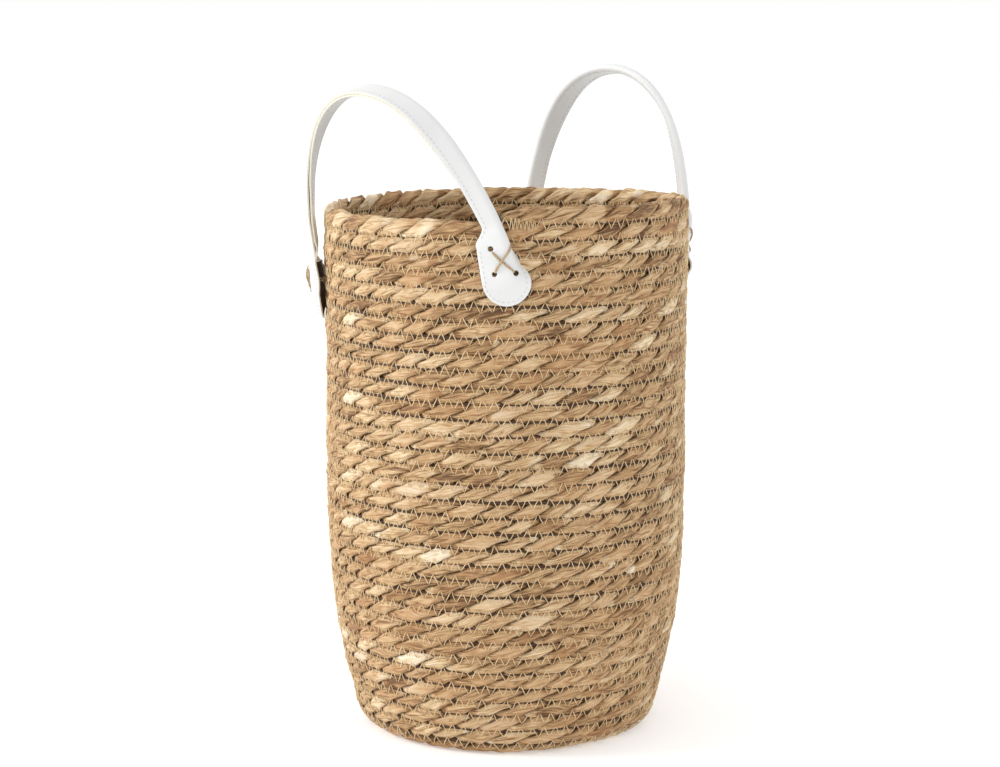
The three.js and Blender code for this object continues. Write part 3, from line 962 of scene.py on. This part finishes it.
    def section(self, station, samples):
        """Across and out positions and directions, at distances from the fold, of stations."""
        fine = np.linspace(-1, 1, 161)
        by_station = (self.near, self.fold, self.near_length, self.far_length, self.lift)
        near, fold, near_length, far_length, lift = (v[station][:, None] for v in by_station)
        angles = (self.slope, self.turning, self.curl, self.far_curl)
        slope, turning, curl, far_curl = (v[station][:, None] for v in angles)
        distance = fine * np.where(fine < 0, near_length, far_length)
        bent = np.clip(distance / FOLD_ARC + 0.5, 0, 1)
        beyond = -(distance + fold) / (near + 1e-6)
        direction = slope - turning * bent
        direction += curl * np.clip(beyond, 0, 1) - far_curl * np.clip(-beyond, 0, 1)
        steps = np.diff(distance, axis=1)
        middle = (direction[:, 1:] + direction[:, :-1]) / 2
        zero = np.zeros((len(station), 1))
        x = np.concatenate([zero, np.cumsum(np.cos(middle) * steps, 1)], 1)
        out = np.concatenate([zero, np.cumsum(np.sin(middle) * steps, 1)], 1)
        x, out, direction = (
            np.array([np.interp(at, d, v) for at, d, v in zip(samples, distance, values)])
            for values in (x, out, direction)
        )
        return x - near, out + lift, direction

    def surface(self, station, samples, offset):
        """Points on the sheet, moved off its middle towards its coated face."""
        x, out, direction = self.section(station, samples)
        x = x - np.sin(direction) * offset
        out = out + np.cos(direction) * offset
        places = rings_at(self.points[station], x, self.far[station], out, self.face[station])
        return turned(places, self.turn)

    def on_face(self, above, across, offset, side):
        """One point at a height over the tie and a place across the flat sheet of a tab."""
        along = above + TAB_BELOW_TIE
        if side == "left":
            along = self.length - along
        exact = np.interp(along, self.along, np.arange(len(self.along)))
        low = int(min(exact, len(self.along) - 2))
        stations = np.array([low, low + 1])
        samples = (across - self.fold[stations])[:, None]
        two = self.surface(stations, samples, offset)[:, 0]
        return two[0] + (two[1] - two[0]) * (exact - low)


def turned(points, angle):
    """Points turned about the upright axis."""
    cos, sin = math.cos(angle), math.sin(angle)
    return points @ np.array([[cos, sin, 0], [-sin, cos, 0], [0, 0, 1]])


# Where the sheet's edges along the strap are, from a cut edge (0) to the fold (1).
SHARES = np.array([0.0, 0.03, 0.1, 0.2, 0.32, 0.44, 0.56, 0.67, 0.76, 0.83, 0.88, 0.92, 0.96, 1.0])


def strap_sheet(strap, name, materials):
    """The strap as a sheet with a coated face, a cloth back and cut edges."""
    stations = np.arange(len(strap.along))
    near = -strap.near_length[:, None] * (1 - SHARES)
    far = strap.far_length[:, None] * (1 - SHARES[::-1])[1:]
    samples = np.concatenate([near, far], 1)
    thickness = np.full(samples.shape[1], SHEET_THICKNESS / 2)
    back = strap.surface(stations, samples, -thickness)
    thickness[[0, -1]] *= 0.6
    front = strap.surface(stations, samples, thickness)
    loop = np.concatenate([front, back[:, ::-1]], 1)
    count, sides = loop.shape[:2]
    side = np.tile(np.arange(sides), count - 1)
    across = front.shape[1]
    choice = np.where(side < across - 1, 0, 1)
    choice[np.isin(side, (across - 1, across, sides - 2, sides - 1))] = 2
    piece = build(name, *tube(loop), materials, choice=choice)
    piece.data.set_sharp_from_angle(angle=math.radians(50))
    return piece


def cut_holes(piece, strap):
    """Cuts the three holes that show in each tab; the fourth is in the part turned back."""
    cutters = []
    for side, tab in strap.tabs.items():
        for hole in (NEAR_HIGH, NEAR_LOW, FAR_LOW):
            foot = tab.at(*hole, 0)
            ends = [foot - tab.out * 12 * MM, foot + tab.out * 25 * MM]
            path = turned(np.linspace(*ends, 3), strap.turn)
            axis = turned(tab.across[None], strap.turn)
            rings = thread_rings(path, np.repeat(axis, 3, 0), HOLE_RADIUS, 20)
            rings[0], rings[-1] = path[0], path[-1]
            cutters.append(tube(rings))
    points, faces = joined(cutters)
    cutter = build(piece.name + "_cutter", points, faces, [])
    modifier = piece.modifiers.new("holes", "BOOLEAN")
    modifier.object = cutter
    modifier.solver = "EXACT"
    evaluated = piece.evaluated_get(bpy.context.evaluated_depsgraph_get())
    cut = bpy.data.meshes.new_from_object(evaluated)
    piece.modifiers.clear()
    piece.data = cut
    bpy.data.objects.remove(cutter)


def tab_seam_line():
    """The topstitching round a tab, as (height over the tie, place across) pairs."""
    radius = TAB_RADIUS - SEAM_INSET
    angle = np.linspace(-np.pi / 2, np.pi / 2, 60)
    centre = TAB_RADIUS - TAB_BELOW_TIE
    bend = np.stack([centre - radius * np.cos(angle), radius * np.sin(angle)], -1)
    near_side = np.stack([np.linspace(13 * MM, centre, 30), np.full(30, -radius + MM)], -1)
    far_side = np.stack([np.linspace(centre, -3 * MM, 12), np.full(12, radius)], -1)
    return np.concatenate([near_side, bend, far_side])


def dashes(path, normals):
    """Short stitches along a line, each dipping into the sheet at its ends."""
    along = line_lengths(path)
    tubes = []
    for start in np.arange(0, along[-1] - SEAM_STITCH, SEAM_PITCH):
        at = start + np.linspace(0, SEAM_STITCH, 5)
        normal = rows_at(at, along, normals)
        dip = np.array([-0.35, 0.02, 0.1, 0.02, -0.35])[:, None] * MM
        points = rows_at(at, along, path) + unit(normal) * dip
        tubes.append(thread_rings(points, normal, SEAM_RADIUS, 6))
    return tubes


def strap_seams(strap, name, material):
    """The stitches round both tabs and along both layers of the folded grip."""
    tubes = []
    for side in ("right", "left"):
        face, deep = (
            np.array([strap.on_face(v, x, o, side) for v, x in tab_seam_line()])
            for o in (SHEET_THICKNESS / 2, 0)
        )
        tubes += dashes(face, face - deep)
    grip = np.where(strap.above > 25 * MM)[0]
    for edge in (-1, 1):
        length = strap.near_length if edge < 0 else strap.far_length
        samples = edge * (length[grip] - SEAM_INSET)[:, None]
        face, deep = (strap.surface(grip, samples, o)[:, 0] for o in (SHEET_THICKNESS / 2, 0))
        tubes += dashes(face, face - deep)
    return tube_piece(name, tubes, material, per_row=4)


def twine_paths(strap, side):
    """The twine of one tie: over the tab in an X, through the wall, and knotted inside."""
    tab = strap.tabs[side]

    def wall(across, above):
        """Two points, just outside the wall and just inside it."""
        depths = np.array([-0.5 * TWINE_RADIUS, ROPE_THICKNESS + 1.3 * TWINE_RADIUS])
        depths += tab.to_wall(above)
        return list(turned([tab.at(across, above, -depth) for depth in depths], strap.turn))

    def over(place, extra=0.0):
        offset = SHEET_THICKNESS / 2 + 0.85 * TWINE_RADIUS + extra
        return strap.on_face(place[1], -place[0], offset, side)

    def through(place, drawn_to):
        """In a hole, against the edge that the twine is drawn to, and just behind the sheet."""
        place = place + unit(drawn_to - place) * (HOLE_RADIUS - 0.8 * TWINE_RADIUS)
        inside, behind = (strap.on_face(place[1], -place[0], o * MM, side) for o in (0, -2))
        return [inside, behind]

    def crossing(start, end, extra):
        shares = np.linspace(0.12, 0.88, 11)
        lift = extra * np.exp(-(((shares - 0.5) / 0.17) ** 2))
        return [over(start + (end - start) * s, e) for s, e in zip(shares, lift)]

    def gathered(across, above):
        return strap.on_face(above, -across, -3 * MM, side)

    round_fold = FAR_HIGH - np.array([4 * MM, -0.5 * MM])
    return [
        *wall(-WALL_HOLE, 0)[::-1],
        wall(-2.6 * WALL_HOLE, 6 * MM)[0],
        over(round_fold),
        *crossing(FAR_HIGH, NEAR_LOW, 1.6 * TWINE_RADIUS),
        *through(NEAR_LOW, FAR_HIGH),
        gathered(2 * WALL_HOLE, -MM),
        *wall(2 * WALL_HOLE, -MM),
        *wall(2 * WALL_HOLE, MM)[::-1],
        gathered(2 * WALL_HOLE, MM),
        *through(NEAR_HIGH, FAR_LOW)[::-1],
        *crossing(NEAR_HIGH, FAR_LOW, 0),
        *through(FAR_LOW, NEAR_HIGH),
        gathered(-WALL_HOLE, -1.5 * MM),
        *wall(-WALL_HOLE, -1.5 * MM),
    ]


def knot_paths(strap, side):
    """A small knot inside the wall, with its two loose ends."""
    tab = strap.tabs[side]
    depth = tab.to_wall(0) + ROPE_THICKNESS + 2.4 * TWINE_RADIUS
    centre = tab.at(0, 0, -depth)
    t = np.linspace(0, 2 * np.pi, 60)[:, None]
    size = 1.1 * MM
    trefoil = centre + size * (
        tab.across * (np.sin(t) + 2 * np.sin(2 * t))
        + tab.up * (np.cos(t) - 2 * np.cos(2 * t))
        - tab.out * np.sin(3 * t)
    )
    paths = [turned(trefoil, strap.turn)]
    for way, drop in ((1, 9), (-1, 13)):
        share = np.linspace(0, 1, 14)[:, None]
        end = centre + tab.across * way * (2 * MM + 5 * MM * share) - tab.up * drop * MM * share**1.5
        end = end - tab.out * 1.5 * MM * np.sin(2.4 * share)
        paths.append(turned(end, strap.turn))
    return paths


def make_tie(strap, side, name, material):
    """The twine of one tab with its knot."""
    corners = np.array(twine_paths(strap, side))
    length = line_lengths(corners)[-1]
    (path,), _ = resample(corners, np.linspace(0, 1, int(length / (0.6 * MM))))
    paths = [smoothed(path, 2), *knot_paths(strap, side)]
    rings = [ring for p in paths for ring in cord_rings(p, TWINE_RADIUS, TWINE_PLY_LENGTH)]
    piece = tube_piece(name, rings, material, per_row=150)
    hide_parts(name.replace("twine", "tie"))
    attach(piece, "basket")


def make_handle(name, setup, looks, wall_radius):
    """One strap with its seams and ties. The rear strap's right tab is seen on the left."""
    strap = Strap(setup, wall_radius)
    sheet = strap_sheet(strap, f"{name}_handle_strap", looks["strap"])
    cut_holes(sheet, strap)
    seams = strap_seams(strap, f"{name}_handle_stitches", looks["seam"])
    sides = {"right": "right", "left": "left"}
    if name == "rear":
        sides = {"right": "left", "left": "right"}
    tabs = [f"{name}_{seen}_tab" for seen in sides.values()]
    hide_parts(f"{name}_handle_grip", *tabs)
    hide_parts(f"{name}_handle_grip_seam", *(f"{tab}_seam" for tab in tabs))
    for piece in (sheet, seams):
        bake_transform(piece)
    for side, seen in sides.items():
        make_tie(strap, side, f"{name}_{seen}_twine", looks["twine"])


# --- Room ---


def make_floor():
    bpy.ops.mesh.primitive_plane_add(size=30, location=(0, 0, -0.5 * MM))
    floor = bpy.context.object
    floor.name = "floor"
    n = Nodes("floor")
    n.set(Base_Color=grey(0.8), Roughness=1.0, Emission_Color=grey(1.0), Emission_Strength=0.35)
    floor.data.materials.append(n.material)


def make_key_light():
    """A large soft lamp at the upper left, aimed at the basket's middle."""
    lamp = bpy.data.lights.new("key", "AREA")
    lamp.shape = "DISK"
    lamp.size = 1.0
    lamp.energy = 40
    lamp.color = (1, 0.985, 0.96)
    light = add_object("key", lamp)
    light.location = (-1.5, -2.1, 1.5)
    aim = Vector((0, 0, 0.28)) - light.location
    light.rotation_euler = aim.to_track_quat("-Z", "Y").to_euler()


def make_room():
    make_floor()
    world = bpy.data.worlds.new("world")
    world.use_nodes = True
    background = world.node_tree.nodes["Background"]
    background.inputs["Color"].default_value = grey(1.0)
    background.inputs["Strength"].default_value = 1.0
    bpy.context.scene.world = world
    make_key_light()
    bpy.context.scene.view_settings.view_transform = "Standard"


def make_camera():
    camera = bpy.data.cameras.new("camera")
    camera.lens = 79.8
    camera.sensor_width = 36
    viewer = add_object("camera", camera)
    viewer.location = (1.379, -1.379, 0.606)
    viewer.rotation_euler = (math.radians(81.1), 0, math.radians(45.155))
    bpy.context.scene.camera = viewer


def main():
    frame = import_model()
    profile = wall_profile(frame["nodes"])
    winding = Winding(profile)
    straw, thread = straw_material(), thread_material()
    make_rope(winding, straw)
    make_thread(winding, thread)
    make_tail_stitches(winding, thread)
    # The stray fibres are as thin as thread, and have no leaves of their own to be coloured by.
    make_stray_fibres(winding, thread)
    looks = {
        "strap": [strap_material(), backing_material(), edge_material()],
        "seam": seam_material(),
        "twine": twine_material(),
    }

    def wall_radius(height):
        return float(np.interp(height, profile[:, 0], profile[:, 1]))

    for name, setup in HANDLES.items():
        make_handle(name, setup, looks, wall_radius)
    make_room()
    make_camera()


main()
